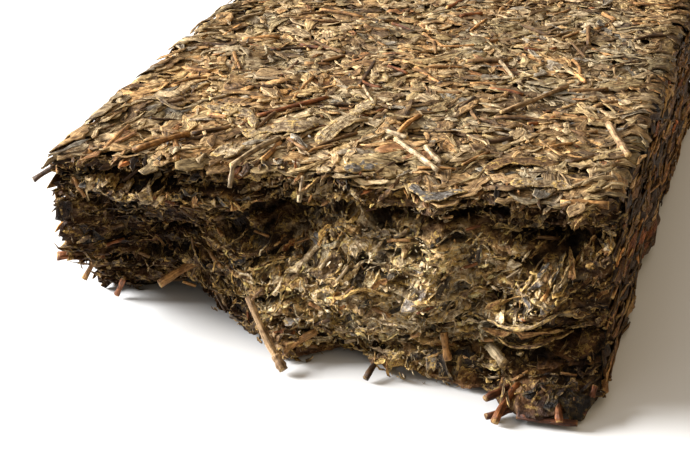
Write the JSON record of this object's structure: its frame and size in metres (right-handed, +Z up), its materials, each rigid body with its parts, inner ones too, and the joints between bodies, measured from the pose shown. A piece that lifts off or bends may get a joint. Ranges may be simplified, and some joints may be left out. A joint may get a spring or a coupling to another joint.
{
  "type": "pressed tea brick",
  "caption": "Flat block of pressed pu erh tea leaves and stems, moulded on its faces, with one end snapped off to show the loose layered inside.",
  "frame": {"origin": "middle of the flat face that the block rests on, under the plain block that the broken end was snapped from", "axes": "+X to the right of the broken end, +Y from the broken end to the whole end, +Z up"},
  "size_m": [0.098, 0.1384, 0.036],
  "materials": {
    "pressed_tea": "dry crumpled leaf, olive brown to dark brown, with tan stems, matt with a faint sheen on the pressed faces"
  },
  "bodies": {
    "root": {"tea_brick": "pressed_tea"}
  },
  "joints": []
}
